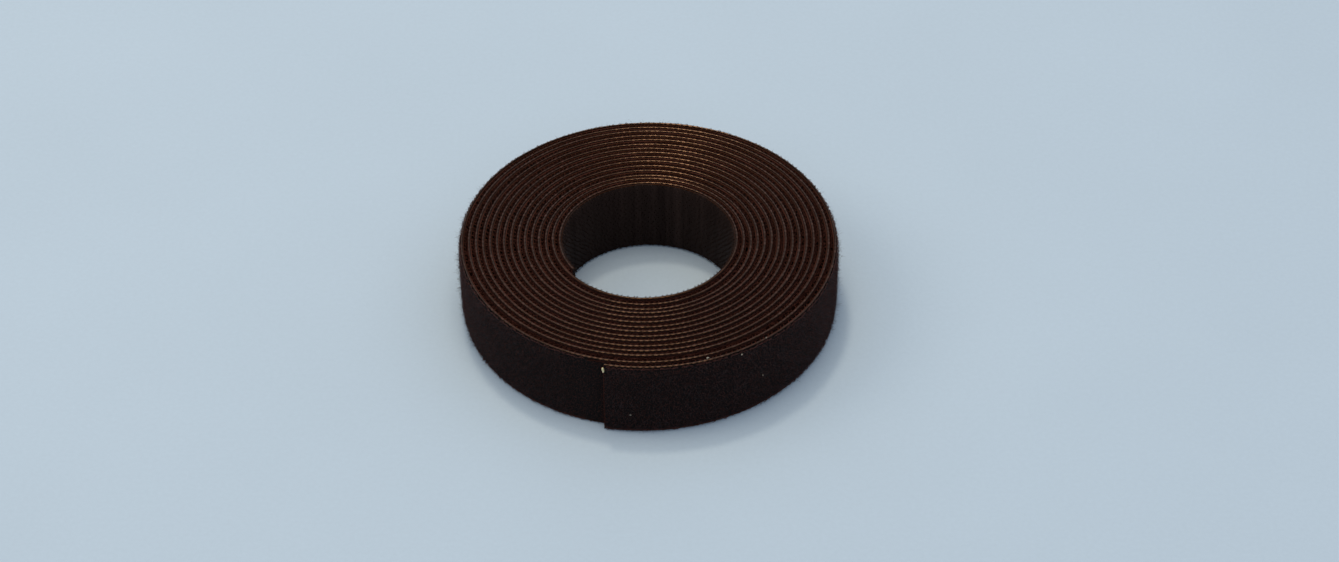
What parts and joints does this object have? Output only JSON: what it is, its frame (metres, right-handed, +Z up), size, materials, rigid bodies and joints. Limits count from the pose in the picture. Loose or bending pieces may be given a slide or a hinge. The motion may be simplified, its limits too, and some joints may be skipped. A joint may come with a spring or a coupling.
{
  "type": "hook and loop tape roll",
  "caption": "Roll of back-to-back hook and loop tape wound on itself with no core, hooks inwards, with a free outer end that peels off to be cut and wrapped round cables or bundles.",
  "frame": {"origin": "middle of the roll's outline, on the face it lies on", "axes": "+Z up along the winding axis, -Y towards the front, where the free end of the tape lies"},
  "size_m": [0.0922, 0.0934, 0.02],
  "materials": {
    "loop_cloth": "matte",
    "hook_plastic": "satin",
    "bond_adhesive": "satin"
  },
  "bodies": {
    "roll": {"roll_loop_tape": "loop_cloth", "roll_bond_film": "bond_adhesive", "roll_hook_tape": "hook_plastic"},
    "tail_1": {"tail_1_loop_tape": "loop_cloth", "tail_1_bond_film": "bond_adhesive", "tail_1_hook_tape": "hook_plastic"},
    "tail_2": {"tail_2_loop_tape": "loop_cloth", "tail_2_bond_film": "bond_adhesive", "tail_2_hook_tape": "hook_plastic"},
    "tail_3": {"tail_3_loop_tape": "loop_cloth", "tail_3_bond_film": "bond_adhesive", "tail_3_hook_tape": "hook_plastic"},
    "tail_4": {"tail_4_loop_tape": "loop_cloth", "tail_4_bond_film": "bond_adhesive", "tail_4_hook_tape": "hook_plastic"},
    "tail_5": {"tail_5_loop_tape": "loop_cloth", "tail_5_bond_film": "bond_adhesive", "tail_5_hook_tape": "hook_plastic"}
  },
  "joints": [
    {"name": "tail_peel", "type": "hinge", "parent": "roll", "child": "tail_1", "pos_m": [0.04081, -0.02169, 0.01], "axis": [0, 0, 1], "range_deg": [0, 30]},
    {"name": "tail_bend_2", "type": "hinge", "parent": "tail_1", "child": "tail_2", "pos_m": [0.03372, -0.03173, 0.01], "axis": [0, 0, 1], "range_deg": [0, 30]},
    {"name": "tail_bend_3", "type": "hinge", "parent": "tail_2", "child": "tail_3", "pos_m": [0.02423, -0.03959, 0.01], "axis": [0, 0, 1], "range_deg": [0, 30]},
    {"name": "tail_bend_4", "type": "hinge", "parent": "tail_3", "child": "tail_4", "pos_m": [0.01298, -0.04471, 0.01], "axis": [0, 0, 1], "range_deg": [0, 30]},
    {"name": "tail_bend_5", "type": "hinge", "parent": "tail_4", "child": "tail_5", "pos_m": [0.00076, -0.04671, 0.01], "axis": [0, 0, 1], "range_deg": [0, 30]}
  ],
  "couplings": [
    {"joint": "tail_bend_2", "follows": "tail_peel", "ratio": 1},
    {"joint": "tail_bend_3", "follows": "tail_peel", "ratio": 1},
    {"joint": "tail_bend_4", "follows": "tail_peel", "ratio": 1},
    {"joint": "tail_bend_5", "follows": "tail_peel", "ratio": 1}
  ]
}
